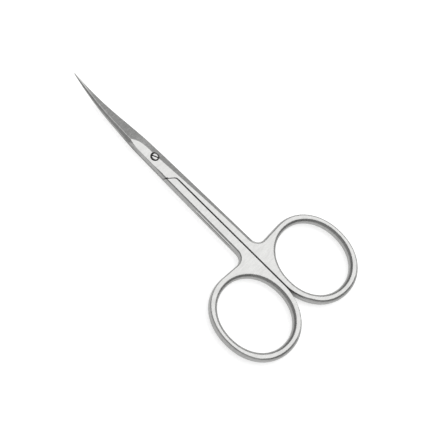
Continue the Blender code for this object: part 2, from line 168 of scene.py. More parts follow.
# Fineness of the surfaces
EDGE_STEPS = 8
RING_STEPS = 168
FILLET_STEPS = 24
WEB_STEPS = 8
SPLIT_STEPS = 16
ROUND_STEPS = 96
DOME_STEPS = 12
CURVE_STEPS = 60
STRAIGHT_BLADE_STEPS = 16
GRIND_STEPS = 40
PLATE_STEPS = 8
SHOULDER_STEPS = 48
SHANK_STEPS = 40
GROOVE_STEPS = 32


def metres(description, default):
    """A setting that holds a length."""
    return FloatProperty(description=description, default=default, unit="LENGTH", precision=6)


def degrees(description, default):
    """A setting that holds an angle, whose default is given in degrees."""
    return FloatProperty(description=description, default=math.radians(default), subtype="ANGLE")


def fraction(description, default):
    """A setting between 0 and 1."""
    return FloatProperty(description=description, default=default, subtype="FACTOR", min=0.0, max=1.0)


def number(description, default):
    """A setting without a unit."""
    return FloatProperty(description=description, default=default)


def rgb(description, default):
    """A setting that holds a colour."""
    return FloatVectorProperty(
        description=description, default=default, subtype="COLOR", min=0.0, max=1.0)


def named_settings(group):
    """Give every setting of a group its attribute's name, in words."""
    for key, setting in group.__annotations__.items():
        setting.keywords["name"] = key.replace("_", " ").title()
    return group


@named_settings
class HalfSizes(bpy.types.PropertyGroup):
    """Sizes that both halves share."""

    overall_length: metres(
        "From the tips to the far ends of the rings", round(CAD_HIGH.y - CAD_LOW.y, 4))
    tip_reach: metres("From the pivot to the tips", 0.03)
    thickness: metres("Of the joint, the shanks and the rings", 0.003)
    joint_half_width: metres("Of the joint plates at the pivot", 0.00224)
    shank_half_width: metres("Of the two shanks together where the web begins", 0.00256)
    bevel_at_joint: metres("Width of the shank's long bevel beside the pivot", 0.0019)
    bevel_at_web: metres("Width of the shank's long bevel where the web begins", 0.00075)
    bevel_fade: number("How the long bevel narrows: 1 is straight", 1.6)
    bevel_slope: number("Fall of the long bevel for its width", 0.46)
    back_edge_break: metres("Rounding of the outer edge of the half's back", 0.00045)
    plate_draft: metres("How far the joint plate's side leans in at the front", 0.00029)
    plate_roundness: fraction("Roundness of the joint plate's side: 0 is flat", 0.65)
    honed_drop: metres("From the shank's back to the far edge of the facet on its side", 0.00125)
    honed_start: metres("From the pivot to the facet's end nearest to it", 0.0160)
    honed_end: metres("From the pivot to the facet's far end", 0.0322)
    honed_fade: metres("Length over which the facet's ends run out", 0.0030)
    groove_depth: metres("Of the fine line beside the facet", 0.00005)
    groove_height: metres("Across the fine line beside the facet", 0.00045)
    shoulder_reach: metres("From the pivot down to the shoulder's corner", 0.00785)
    shoulder_angle: degrees("Between the shoulder and a line straight across", 36.5)
    shoulder_lean: degrees("How far the shoulder leans back below the front face", 21.0)
    shoulder_round: metres("Size of the shoulder's round corner", 0.0003)
    grind_start: metres("From the pivot to where the blade is ground full width", 0.0076)
    grind_sweep: number("How late the front face narrows to the ridge", 4.6)
    taper_start: metres("From the pivot to where the blade begins to narrow", 0.006)
    taper_round: metres("How gently the blade begins to narrow", 0.0015)
    taper_power: number("How the blade narrows: 1 is straight", 1.03)
    curve_start: metres("From the pivot to where the blades begin to curl up", 0.0145)
    tip_rise: metres("How far the tips curl up", 0.0033)
    ridge_share: fraction("Where the blade's ridge starts, as a share of its half width", 0.60)
    ridge_taper: number("How the blade thins towards the tip: 1 is with its width", 0.8)
    spine_share: fraction("Height of the spine's side, as a share of the ridge's height", 0.57)
    hole_width: metres("Of the finger hole at its narrowest", 0.01805)
    hole_length: metres("Of the finger hole at its narrowest", 0.02055)
    ring_side_wall: metres("Metal beside the finger hole", 0.00205)
    ring_top_wall: metres("Metal between the finger hole and the web's edge", 0.0023)
    ring_end_wall: metres("Metal at the far end of the finger hole", 0.00247)
    ring_squareness: number("Power of the ring's oval: 2 is an ellipse", 2.1)
    ring_inner_round: metres("Rounding of the finger hole's edges at its sides", 0.00098)
    ring_inner_side_round: metres("Rounding of the finger hole's back edge at its outer side", 0.00122)
    ring_inner_end_round: metres("Rounding of the finger hole's edges at its two ends", 0.0012)
    ring_front_round: metres("Rounding of the ring's outer edge on the front", 0.00065)
    ring_back_round: metres("Rounding of the ring's outer edge on the back", 0.0005)
    ring_end_round: metres("Rounding of the ring's outer edges at its far end", 0.00115)
    ring_fade: fraction("Share of the ring's turn on which its round edge turns sharp", 0.17)
    web_fillet: metres("Radius between the shank and the web", 0.00265)
    web_tilt: degrees("Slope of the web's upper edge", 3.0)


@named_settings
class ScrewSizes(bpy.types.PropertyGroup):
    """Sizes of the pivot screw."""

    head_diameter: metres("Of the slotted head", 0.0020)
    head_rim: metres("Height of the head below its dome", 0.00042)
    head_dome: metres("Height of the head's dome", 0.0003)
    head_depth: metres("Depth of the sink that takes the head", 0.0007)
    slot_width: metres("Of the driver slot", 0.00035)
    slot_depth: metres("Of the driver slot at the middle of the head", 0.0005)
    slot_angle: degrees("How the driver slot is turned", 115.0)
    journal_diameter: metres("Of the plain part that the upper half turns on", 0.0015)
    thread_diameter: metres("Of the end that sits in the lower half", 0.0013)


@named_settings
class SteelFinish(bpy.types.PropertyGroup):
    """Colours and grain of the steel."""

    steel_colour: rgb("Of the halves", (0.58, 0.58, 0.572))
    screw_colour: rgb("Of the pivot screw", (0.58, 0.58, 0.575))
    roughness: fraction("Of the satin steel", 0.24)
    screw_roughness: fraction("Of the turned screw", 0.16)
    # Painted shade: the side walls' colour, as a share of the steel's own; their roughness is set apart
    side_painted_shade: fraction("Colour of the duller side walls, as a share of the steel's own", 0.66)
    # Painted shade: the colour where the darker painted shade is full, round the screw, beside the
    # blade's root, between the rings, in the groove and on the edges before the grind, as a share of the
    # steel's own
    painted_shade_level: fraction("Colour in the gap round the screw, as a share of the steel's own", 0.12)
    side_roughness: fraction("Of the duller side walls", 0.36)
    grain_size: metres("Spacing of the satin finish's scratches", 0.00012)
    brush_size: metres("Width of the brushed streaks that run across the tool", 0.0005)
    grain_depth: metres("Depth of the satin finish's scratches", 0.0000011)


@named_settings
class StageSettings(bpy.types.PropertyGroup):
    """Camera, floor and lights."""

    aim: FloatVectorProperty(
        description="Point at the middle of the picture",
        default=(0.00081, -0.0066, 0.0015), subtype="TRANSLATION", unit="LENGTH", precision=6)
    distance: metres("From the camera to the point it looks at", 0.40889)
    lean: degrees("How far the camera leans from the vertical towards -X", 23.37)
    pitch: degrees("How far the camera leans towards the tips", -5.25)
    turn: degrees("How far the picture is turned", 45.36)
    focal_length: number("Of the lens on a 36 mm sensor, in millimetres", 132.6)
    floor_colour: rgb("Of the pale floor", (0.86, 0.86, 0.86))
    far_wall_light: number("Brightness of the room near the horizon at +X", 0.53)
    near_wall_light: number("Brightness of the room near the horizon at -X", 0.60)
    end_wall_light: number("Brightness of the room's walls beyond the tips and the rings", 0.26)
    ceiling_light: number("Brightness of the room overhead", 0.22)
    key_light: number("Brightness of the large soft light", 1.2)
    floor_glow: number("What the floor adds to its own colour in the picture", 0.62)


def smooth_step(value):
    """Return 0 below 0, 1 above 1, and 3v^2 - 2v^3 between."""
    value = np.clip(value, 0.0, 1.0)
    return value * value * (3.0 - 2.0 * value)


def mix(start, end, share):
    """Return the value that lies a share of the way from start to end."""
    return start + (end - start) * share


def past(value, round_size):
    """Hyperbola (v + sqrt(v^2 + round^2)) / 2: nearly 0 well below 0, nearly v well above."""
    return (value + np.hypot(value, round_size)) / 2.0


def slide_rise(s, y):
    """Rise of the sliding face: R - sqrt(R^2 - run^2) past the curve's start, level past the tip."""
    run = np.clip(np.minimum(y, s.tip_reach) - s.curve_start, 0.0, None)
    reach = s.tip_reach - s.curve_start
    radius = (reach**2 + s.tip_rise**2) / (2.0 * s.tip_rise)
    return radius - np.sqrt(radius**2 - run**2)


def pivot_place(s):
    """The pivot's y in the tool's frame."""
    return s.overall_length / 2.0 - s.tip_reach


def half_width(s, y):
    """Half width: straight from joint to web, and from joint to tip by a power of the way along."""
    below = np.clip(-y / web_reach(s), 0.0, 1.0)
    along = past(np.minimum(y, s.tip_reach) - s.taper_start, s.taper_round)
    along = along / past(s.tip_reach - s.taper_start, s.taper_round)
    shank = mix(s.joint_half_width, s.shank_half_width, below)
    blade = mix(s.joint_half_width, TIP_HALF_WIDTH, along**s.taper_power)
    return np.where(y <= 0.0, shank, blade)


def bevel_width(s, y):
    """Width of the shank's long bevel: from web to joint by a power of the way up."""
    share = np.clip(1.0 + y / web_reach(s), 0.0, 1.0)
    return mix(s.bevel_at_web, s.bevel_at_joint, share**s.bevel_fade)


def split_x(s, y, h, offset):
    """Parting line: x = offset - t / tan(shoulder angle), where t follows a hyperbola on the way past
    the shoulder's corner, which lies further up the tool at a lower h."""
    lean = math.tan(s.shoulder_lean) * (s.thickness / 2.0 - np.maximum(h, 0.0))
    beyond = y + s.shoulder_reach - lean
    return offset - past(beyond, s.shoulder_round) / math.tan(s.shoulder_angle)


def edge_rows(inset, drop, roundness):
    """Insets and drops from a face to its side: ((1 - t) inset, t drop) for a chamfer, a quarter
    ellipse ((1 - sin) inset, (1 - cos) drop) for a round edge, or a mix of the two."""
    inset, drop, roundness = (np.atleast_1d(value)[:, None] for value in (inset, drop, roundness))
    share = np.linspace(0.0, 1.0, EDGE_STEPS + 1)[None, :]
    angle = share * math.pi / 2.0
    insets = inset * mix(1.0 - share, 1.0 - np.sin(angle), roundness)
    drops = drop * mix(share, 1.0 - np.cos(angle), roundness)
    return insets, drops


def column_rows(s, top, front, back):
    """Insets and heights down one side: the front edge below top, then the back edge above the back."""
    front_in, front_drop = edge_rows(*front)
    back_in, back_drop = edge_rows(*back)
    insets = np.hstack([front_in, back_in[:, ::-1]])
    heights = np.hstack([top[:, None] - front_drop, back_drop[:, ::-1] - s.thickness / 2.0])
    return insets, heights


def blade_heights(s, y):
    """Heights of ridge, spine and cutting edge: the ridge falls with a power of the blade's width."""
    floor = MATING_GAP / 2.0
    width_share = half_width(s, y) / half_width(s, np.float64(s.grind_start))
    taper = np.minimum(width_share**s.ridge_taper, 1.0)
    ridge = floor + (s.thickness / 2.0 - floor) * taper
    spine = floor + s.spine_share * (ridge - floor)
    return ridge, spine, np.minimum(floor + EDGE_LAND, ridge)


def ridge_x(s, y):
    """Place of the ridge: -share (1 - t^3) half width, so it runs to the middle at the tip."""
    share = np.clip((y - s.grind_start) / (s.tip_reach - s.grind_start), 0.0, 1.0)
    return -s.ridge_share * (1.0 - share**3) * half_width(s, y)


def honed_share(s, y):
    """Where a facet is honed on the shank's outer side near its back: 1 along it, an S to its ends."""
    start = smooth_step((-y - s.honed_start) / s.honed_fade)
    end = smooth_step((y + s.honed_end) / s.honed_fade)
    return start * end


def right_columns(s, y):
    """Outer side at each y: the shank's bevel, which turns into the blade's bevel over the grind."""
    width = half_width(s, y)
    ridge, _, cutting_edge = blade_heights(s, y)
    swept = np.clip(y / s.grind_start, 0.0, 1.0)
    root_edge = s.thickness / 2.0 - s.bevel_at_joint * s.bevel_slope
    top_x = mix(width - s.bevel_at_joint, ridge_x(s, y) + RIDGE_LAND / 2.0, swept**s.grind_sweep)
    on_blade = y > 0.0
    inset = np.where(on_blade, width - top_x, bevel_width(s, y))
    drop = np.where(on_blade, ridge - mix(root_edge, cutting_edge, swept), inset * s.bevel_slope)
    top = np.where(on_blade, ridge, s.thickness / 2.0)
    back_inset = np.where(on_blade, 0.0, s.back_edge_break)
    sharp = np.zeros_like(y)
    insets, heights = column_rows(
        s, top, (inset, drop, sharp), (back_inset, np.full_like(y, s.back_edge_break), sharp + 1.0))
    return columns(width[:, None] - insets, y, heights)


def left_columns(s, y):
    """Inner side at each y: the parting line, the joint plate's edge, or the blade's spine."""
    width = half_width(s, y)
    ridge, spine, _ = blade_heights(s, y)
    middle = s.thickness / 2.0
    reached = -split_x(s, y, middle, 0.0) / width
    outside = smooth_step((reached - PLATE_CORNER) / (1.0 - PLATE_CORNER))
    worn = smooth_step((-y - PLATE_WEAR_START) / (PLATE_WEAR_END - PLATE_WEAR_START))
    plate_break = mix(s.plate_draft, s.back_edge_break, worn)
    plate_drop = mix(middle - MATING_GAP, s.back_edge_break, worn)
    shank_break = mix(SPLIT_EDGE_BREAK, plate_break, outside)
    shank_drop = mix(SPLIT_EDGE_BREAK, plate_drop, outside)
    swept = np.clip(y / s.grind_start, 0.0, 1.0) ** s.grind_sweep
    blade_inset = width + mix(s.plate_draft - width, ridge_x(s, y) - RIDGE_LAND / 2.0, swept)
    on_blade = y > 0.0
    inset = np.where(on_blade, blade_inset, shank_break)
    drop = np.where(on_blade, mix(middle - MATING_GAP, ridge - spine, swept), shank_drop)
    shank_roundness = mix(s.plate_roundness, 1.0, worn) * outside
    roundness = np.where(on_blade, s.plate_roundness * (1.0 - swept), shank_roundness)
    top = np.where(on_blade, ridge, middle)
    sharp = np.zeros_like(y)
    back_break = np.full_like(y, SPLIT_EDGE_BREAK)
    insets, heights = column_rows(s, top, (inset, drop, roundness), (back_break, back_break, sharp))
    side = np.maximum(split_x(s, y[:, None], heights, SHANK_GAP / 2.0), -width[:, None])
    return columns(side + insets, y, heights)


def columns(x, y, h):
    """Stack x, y and h into columns of points, with one y to a column or one to a point."""
    y = y if y.ndim == 2 else np.repeat(y[:, None], h.shape[1], axis=1)
    return np.stack([x, y, h], axis=-1)


def rim_columns(s, x, y, towards_x, towards_y, front, back):
    """Columns on an outline whose points are moved along a direction in the plane by their insets."""
    insets, heights = column_rows(s, np.full_like(x, s.thickness / 2.0), front, back)
    moved_x = x[:, None] + towards_x[:, None] * insets
    moved_y = y[:, None] + towards_y[:, None] * insets
    return columns(moved_x, moved_y, heights)


def ring_ovals(s):
    """Centre and half sizes of the ring's outer oval and of its hole."""
    half_across = s.hole_width / 2.0 + s.ring_side_wall
    half_along = (s.hole_length + s.ring_top_wall + s.ring_end_wall) / 2.0
    end = s.tip_reach - s.overall_length
    centre_x = SHANK_GAP / 2.0 + half_across
    outer = (centre_x, end + half_along, half_across, half_along)
    hole_y = end + s.ring_end_wall + s.hole_length / 2.0
    hole = (centre_x, hole_y, s.hole_width / 2.0, s.hole_length / 2.0)
    return outer, hole


def oval_points(s, oval, angle):
    """Superellipse: centre + (a |cos|^(2/n) sign cos, b |sin|^(2/n) sign sin)."""
    centre_x, centre_y, half_across, half_along = oval
    power = 2.0 / s.ring_squareness
    cosine, sine = np.cos(angle), np.sin(angle)
    x = centre_x + half_across * np.copysign(np.abs(cosine) ** power, cosine)
    y = centre_y + half_along * np.copysign(np.abs(sine) ** power, sine)
    return x, y


def web_tangent(s):
    """Angle and point on the outer oval where its normal leans by the web's tilt."""
    centre_x, centre_y, half_across, half_along = ring_ovals(s)[0]
    power = 1.0 / (s.ring_squareness - 1.0)
    across = (half_across * math.sin(s.web_tilt)) ** power
    along = (half_along * math.cos(s.web_tilt)) ** power
    size = (across**s.ring_squareness + along**s.ring_squareness) ** (1.0 / s.ring_squareness)
    angle = math.pi - math.acos((across / size) ** (s.ring_squareness / 2.0))
    return angle, (centre_x - half_across * across / size, centre_y + half_along * along / size)


def web_reach(s):
    """How far below the pivot the fillet between shank and web starts."""
    touch_x, touch_y = web_tangent(s)[1]
    fillet_end_x = s.shank_half_width + s.web_fillet * (1.0 + math.sin(s.web_tilt))
    fillet_end_y = touch_y - (touch_x - fillet_end_x) * math.tan(s.web_tilt)
    return -(fillet_end_y + s.web_fillet * math.cos(s.web_tilt))


def handle_outline(s):
    """x, y, free and split round web and ring: a quarter circle and a little more for the fillet, a
    straight slope, the outer oval, and the straight parting line back up. free is 1 on the open ring
    and an S to 0 at its ends; split is true on the side towards the other half."""
    start_y = -web_reach(s)
    share = np.linspace(0.0, 1.0, FILLET_STEPS + 1)
    angle = math.pi + (math.pi / 2.0 + s.web_tilt) * share
    fillet_x = s.shank_half_width + s.web_fillet * (1.0 + np.cos(angle))
    fillet_y = start_y + s.web_fillet * np.sin(angle)
    touch_angle, (touch_x, touch_y) = web_tangent(s)
    slope = np.arange(1, WEB_STEPS) / WEB_STEPS
    slope_x = mix(fillet_x[-1], touch_x, slope)
    slope_y = mix(fillet_y[-1], touch_y, slope)
    turn = np.linspace(0.0, 1.0, RING_STEPS + 1)
    ring_x, ring_y = oval_points(s, ring_ovals(s)[0], mix(touch_angle, -math.pi, turn))
    up = np.arange(1, SPLIT_STEPS + 1) / SPLIT_STEPS
    up_x = np.full_like(up, ring_x[-1])
    up_y = mix(ring_y[-1], start_y, up)
    x = np.concatenate([fillet_x, slope_x, ring_x, up_x])
    y = np.concatenate([fillet_y, slope_y, ring_y, up_y])
    ring_free = smooth_step((1.0 - turn) / s.ring_fade)
    free = np.concatenate([smooth_step(share), np.ones_like(slope), ring_free, np.zeros_like(up)])
    split = np.concatenate([np.zeros(FILLET_STEPS + WEB_STEPS), turn > 0.5, np.ones_like(up)]) > 0.5
    return x, y, free, split


def handle_edge(s, y, free, ring_round, inset, drop, roundness):
    """Edge between the shank's own, where free is 0, and the ring's round edge, where it is 1. The
    ring's rounding grows with a power of the way from its middle to its far end."""
    _, centre_y, _, half_along = ring_ovals(s)[0]
    end = np.clip((centre_y - y) / half_along, 0.0, 1.0) ** RING_END_POWER
    ring_inset = mix(ring_round, s.ring_end_round, end)
    ring_drop = s.thickness / 2.0 - RING_EDGE_BAND / 2.0
    return mix(inset, ring_inset, free), mix(drop, ring_drop, free), mix(roundness, 1.0, free)


def handle_columns(s):
    """Columns round web and ring: the outline moved inwards along its normal by the edge's inset."""
    x, y, free, split = handle_outline(s)
    along_x, along_y = np.gradient(x), np.gradient(y)
    length = np.hypot(along_x, along_y)
    inward_x, inward_y = along_y / length, -along_x / length
    inward_x[0], inward_y[0] = -1.0, 0.0
    inward_x[-1], inward_y[-1] = 1.0, 0.0
    front_in = np.where(split, SPLIT_EDGE_BREAK, s.bevel_at_web)
    front_drop = np.where(split, SPLIT_EDGE_BREAK, s.bevel_at_web * s.bevel_slope)
    back_break = np.where(split, SPLIT_EDGE_BREAK, s.back_edge_break)
    return rim_columns(
        s, x, y, inward_x, inward_y,
        handle_edge(s, y, free, s.ring_front_round, front_in, front_drop, 0.0),
        handle_edge(s, y, free, s.ring_back_round, back_break, back_break, np.where(split, 0.0, 1.0)))


def hole_columns(s):
    """Columns round the finger hole: its oval moved outwards by a quarter ellipse, front and back. Its
    width grows with a power of |sin| towards the hole's ends, and on the back with cos^2 outwards."""
    hole = ring_ovals(s)[1]
    angle = np.arange(RING_STEPS) * 2.0 * math.pi / RING_STEPS
    x, y = oval_points(s, hole, angle)
    outward_x, outward_y = (x - hole[0]) / hole[2] ** 2, (y - hole[1]) / hole[3] ** 2
    length = np.hypot(outward_x, outward_y)
    outward_x, outward_y = outward_x / length, outward_y / length
    at_ends = np.abs(np.sin(angle)) ** RING_END_POWER
    front_in = mix(s.ring_inner_round, s.ring_inner_end_round, at_ends)
    outside = np.clip(np.cos(angle), 0.0, 1.0) ** 2
    back_in = front_in + (s.ring_inner_side_round - s.ring_inner_round) * outside
    drop = np.full_like(x, s.thickness / 2.0 - RING_EDGE_BAND / 2.0)
    roundness = np.ones_like(x)
    return rim_columns(
        s, x, y, outward_x, outward_y, (front_in, drop, roundness), (back_in, drop, roundness))


def stations(s):
    """The y places of the cross sections from the tip down to the web, closer where more bends."""
    shoulder_start = (s.joint_half_width * math.tan(s.shoulder_angle) - s.shoulder_reach
                      + math.tan(s.shoulder_lean) * s.thickness / 2.0 + s.shoulder_round)
    sections = [
        (s.tip_reach, CURVE_STEPS),
        (s.curve_start, STRAIGHT_BLADE_STEPS),
        (s.grind_start, GRIND_STEPS),
        (0.0, PLATE_STEPS),
        (shoulder_start, SHOULDER_STEPS),
        (shoulder_end(s), SHANK_STEPS),
    ]
    last = -web_reach(s)
    ends = [start for start, _ in sections[1:]] + [last]
    runs = [np.linspace(start, end, count, endpoint=False)
            for (start, count), end in zip(sections, ends)]
    return np.concatenate(runs + [[last]])


def shoulder_end(s):
    """The y place below which the parting line runs straight."""
    return -s.shoulder_reach - 2.0 * s.shoulder_round


def place(s, side, points):
    """Points of a half in the tool's frame: (side x, pivot + y, middle + rise(y) + side h)."""
    x, y, h = points[..., 0], points[..., 1], points[..., 2]
    z = s.thickness / 2.0 + slide_rise(s, y) + side * h
    return np.stack([side * x, pivot_place(s) + y, z], axis=-1)


def grid_faces(rows, count):
    """Quads between neighbouring columns of a grid that is stored column by column and closes."""
    here = np.arange(count)[:, None] * rows + np.arange(rows - 1)[None, :]
    there = ((np.arange(count) + 1) % count)[:, None] * rows + np.arange(rows - 1)[None, :]
    return np.stack([here, there, there + 1, here + 1], axis=-1).reshape(-1, 4)


def blank_mesh(s, side, name):
    """One half at full thickness: columns round it and round its hole, joined by flat faces."""
    y = stations(s)
    right, left = right_columns(s, y[:-1]), left_columns(s, y[:-1])
    handle, hole = handle_columns(s), hole_columns(s)
    skin = np.concatenate([right, handle, left[::-1]])
    rows = skin.shape[1]
    points = place(s, side, np.concatenate([skin, hole])).reshape(-1, 3)
    faces = [grid_faces(rows, len(skin)), len(skin) * rows + grid_faces(rows, len(hole))]
    right_side = np.arange(len(right) + 1)
    left_side = np.arange(len(skin) - 1, len(right) + len(handle) - 2, -1)
    outline = len(right) + np.arange(len(handle))
    around = len(skin) + np.arange(len(hole))
    for row in (0, rows - 1):
        a, b = right_side * rows + row, left_side * rows + row
        faces.append(np.stack([a[:-1], a[1:], b[1:], b[:-1]], axis=-1))
    mesh = bpy.data.meshes.new(name)
    mesh.from_pydata(points.tolist(), [], np.concatenate(faces).tolist())
    for row in (0, rows - 1):
        fill_flat(mesh, (outline * rows + row).tolist(), (around * rows + row).tolist())
    turn_outwards(mesh)
    return mesh


def fill_flat(mesh, outline, around):
    """Fill the flat face between an outline and a hole, both given as rings of vertex numbers."""
    edit = bmesh.new()
    edit.from_mesh(mesh)
    edit.verts.ensure_lookup_table()
    edges = []
    for ring in (outline, around):
        for start, end in zip(ring, ring[1:] + ring[:1]):
            pair = (edit.verts[start], edit.verts[end])
            edges.append(edit.edges.get(pair) or edit.edges.new(pair))
    bmesh.ops.triangle_fill(edit, use_beauty=True, edges=edges)
    edit.to_mesh(mesh)
    edit.free()


def solid(name, points, faces):
    """A closed mesh from points and faces, with every face pointing outwards."""
    mesh = bpy.data.meshes.new(name)
    mesh.from_pydata(points.tolist(), [], faces)
    turn_outwards(mesh)
    return mesh


def tube(name, rings):
    """A closed mesh through rings of points, which are joined in order and capped at both ends."""
    count, size = rings.shape[:2]
    sides = grid_faces(count, size).tolist()
    ends = [list(range(end, count * size, count)) for end in (0, count - 1)]
    return solid(name, rings.swapaxes(0, 1).reshape(-1, 3), sides + ends)


def turn_outwards(mesh):
    """Make every face of a closed mesh point outwards."""
    edit = bmesh.new()
    edit.from_mesh(mesh)
    bmesh.ops.recalc_face_normals(edit, faces=edit.faces)
    edit.to_mesh(mesh)
    edit.free()


def cutter_mesh(s, side, name):
    """Room for the other half: sections bounded by the sliding face and its parting line."""
    y = stations(s)
    y = np.concatenate([[s.tip_reach + CUTTER_MARGIN], y[y > shoulder_end(s) - CUTTER_MARGIN]])
    far = s.joint_half_width + CUTTER_MARGIN
    heights = np.array([MATING_GAP / 2.0, 0.0, -s.thickness / 2.0, -s.thickness])[None, :]
    heights = np.repeat(heights, len(y), axis=0)
    parting = np.minimum(-split_x(s, y[:, None], -heights, -SHANK_GAP / 2.0), far)
    edge = np.where(y[:, None] < 0.0, parting, far)
    x = np.hstack([edge, np.full((len(y), 2), -far)])
    h = np.hstack([heights, heights[:, -1:], heights[:, :1]])
    return tube(name, place(s, side, columns(x, y, h)))


def turned_mesh(s, profile, name):
    """Solid of revolution about the pivot: each profile point (r, z) at (r cos, pivot + r sin, z)."""
    profile = np.array(profile)
    angle = np.arange(ROUND_STEPS) * 2.0 * math.pi / ROUND_STEPS
    ring = profile[1:-1]
    pivot_y = pivot_place(s)
    x = ring[None, :, 0] * np.cos(angle)[:, None]
    y = ring[None, :, 0] * np.sin(angle)[:, None] + pivot_y
    z = np.repeat(ring[None, :, 1], ROUND_STEPS, axis=0)
    points = np.stack([x, y, z], axis=-1).reshape(-1, 3)
    poles = np.array([[0.0, pivot_y, profile[0, 1]], [0.0, pivot_y, profile[-1, 1]]])
    rows = len(ring)
    first = np.arange(ROUND_STEPS) * rows
    following = np.roll(first, -1)
    top, bottom = len(points), len(points) + 1
    caps = np.concatenate([
        np.stack([np.full_like(first, top), first, following], axis=-1),
        np.stack([np.full_like(first, bottom), following + rows - 1, first + rows - 1], axis=-1),
    ])
    walls = grid_faces(rows, ROUND_STEPS)
    return solid(name, np.concatenate([points, poles]), walls.tolist() + caps.tolist())


def groove_mesh(s, side, name):
    """A shallow wedge along the shank's outer side, where the honed facet ends. Its depth and its
    height follow the honed share."""
    y = np.linspace(-s.honed_start, -s.honed_end, GROOVE_STEPS + 1)
    share = honed_share(s, y)
    depth = GROOVE_HAIR + s.groove_depth * share
    reach = GROOVE_HAIR + s.groove_height / 2.0 * share
    x = half_width(s, y)
    height = np.full_like(y, s.honed_drop - s.thickness / 2.0)
    low = np.stack([x + GROOVE_HAIR, y, height - reach], axis=-1)
    high = np.stack([x + GROOVE_HAIR, y, height + reach], axis=-1)
    floor = np.stack([x - depth, y, height], axis=-1)
    return tube(name, place(s, side, np.stack([low, high, floor], axis=1)))


def head_top(s, w):
    """Height of the screw's dome."""
    return s.thickness - w.head_depth + SEAT_GAP + w.head_rim + w.head_dome


def slot_mesh(s, w, name):
    """A long bar across the pivot, turned to the slot's angle, whose underside is the slot's floor."""
    u = np.array([-1.0, 1.0, 1.0, -1.0]) * w.head_diameter
    v = np.array([-1.0, -1.0, 1.0, 1.0]) * w.slot_width / 2.0
    x = u * math.cos(w.slot_angle) - v * math.sin(w.slot_angle)
    y = u * math.sin(w.slot_angle) + v * math.cos(w.slot_angle) + pivot_place(s)
    top = head_top(s, w)
    levels = (top - w.slot_depth, top + CUTTER_MARGIN)
    return tube(name, np.array([np.stack([x, y, np.full_like(x, z)], axis=-1) for z in levels]))


def screw_profile(s, w):
    """Radius and height down the screw: a domed head as a quarter ellipse, journal and threaded end."""
    underside = s.thickness - w.head_depth + SEAT_GAP
    rim = underside + w.head_rim
    angle = np.linspace(0.0, math.pi / 2.0, DOME_STEPS + 1)[1:]
    across = w.head_diameter / 2.0 * np.sin(angle)
    dome = np.stack([across, rim + w.head_dome * np.cos(angle)], axis=-1)
    step = s.thickness / 2.0 - MATING_GAP / 2.0 + SEAT_GAP
    head, journal, thread = w.head_diameter / 2.0, w.journal_diameter / 2.0, w.thread_diameter / 2.0
    stem = [
        (head, underside), (journal, underside), (journal, step),
        (thread, step), (thread, SCREW_END_RECESS), (0.0, SCREW_END_RECESS),
    ]
    return [(0.0, rim + w.head_dome)] + dome.tolist() + stem


def add_object(name, data):
    """Put a mesh, a lamp or a camera in the scene."""
    thing = bpy.data.objects.new(name, data)
    bpy.context.scene.collection.objects.link(thing)
    return thing


def cut_and_finish(s, w, mesh, cutters, name, material):
    """Take the cutters out of a mesh and return the finished piece, smooth but for its edges."""
    blank = add_object(name + ".blank", mesh)
    tools = [blank]
    for cutter in cutters:
        tool = add_object(cutter.name, cutter)
        tools.append(tool)
        cut = blank.modifiers.new(cutter.name, "BOOLEAN")
        cut.operation = "DIFFERENCE"
        cut.solver = "EXACT"
        cut.object = tool
    view = bpy.context.evaluated_depsgraph_get()
    finished = bpy.data.meshes.new_from_object(blank.evaluated_get(view))
    for tool in tools:
        data = tool.data
        bpy.data.objects.remove(tool, do_unlink=True)
        bpy.data.meshes.remove(data)
    if not finished.polygons:
        raise RuntimeError("the cuts left nothing of " + name)
    finished.name = name
    finished.materials.clear()
    finished.materials.append(material)
    finished.shade_smooth()
    finished.set_sharp_from_angle(angle=SHARP_ANGLE)
    sharpen_flats(finished)
    mark_faces(s, w, finished)
    thing = add_object(name, finished)
    weighted = thing.modifiers.new("Flat faces keep their normals", "WEIGHTED_NORMAL")
    weighted.mode = "FACE_AREA"
    weighted.weight = LARGE_FACE_WEIGHT
    weighted.keep_sharp = True
    return thing


def face_vectors(mesh, name):
    """One vector a face, as rows."""
    values = np.empty(len(mesh.polygons) * 3)
    mesh.polygons.foreach_get(name, values)
    return values.reshape(-1, 3)


def sharpen_flats(mesh):
    """Mark every edge between a level face and another as sharp, so that flats stay flat."""
    corners = np.empty(len(mesh.polygons), dtype=np.int32)
    edges = np.empty(len(mesh.loops), dtype=np.int32)
    sharp = np.empty(len(mesh.edges), dtype=bool)
    mesh.polygons.foreach_get("loop_total", corners)
    mesh.loops.foreach_get("edge_index", edges)
    mesh.edges.foreach_get("use_edge_sharp", sharp)
    level = np.abs(face_vectors(mesh, "normal")[:, 2]) > LEVEL_UPRIGHT
    beside = np.bincount(edges, weights=np.repeat(level, corners), minlength=len(mesh.edges))
    mesh.edges.foreach_set("use_edge_sharp", sharp | (beside == 1.0))


def screw_painted_shade(s, w, x, along, z, upright, side):
    """Painted shade: 1 on the head's rim, on the slot's floor and in the sink round the head, 0
    elsewhere.
    """
    from_pivot = np.hypot(x, along)
    rim = w.head_diameter / 2.0
    on_rim = (from_pivot > rim * RIM_START) & (from_pivot < rim)
    low = (upright > LEVEL_UPRIGHT) & (z < head_top(s, w) - w.slot_depth + HAIR)
    in_sink = (from_pivot < rim + HEAD_CLEARANCE + HAIR) & ((side > SINK_WALL_SIDE) | low)
    return np.where(on_rim | in_sink, 1.0, 0.0)


def spine_painted_shade(s, along, lean, side):
    """Painted shade beside the blade's root: exp(-(way from its place / length)^2), on the spine's
    wall and, fainter, its edge.
    """
    wall = np.clip((side - WALL_SIDE) / (1.0 - WALL_SIDE), 0.0, 1.0)
    on_round = (lean < -ROUND_LEAN) & (along < s.grind_start)
    near = np.exp(-(((along - SPINE_SHADE_PLACE) / SPINE_SHADE_LENGTH) ** 2))
    return near * np.maximum(SPINE_SHADE_SHARE * wall, SPINE_ROUND_SHARE * on_round)


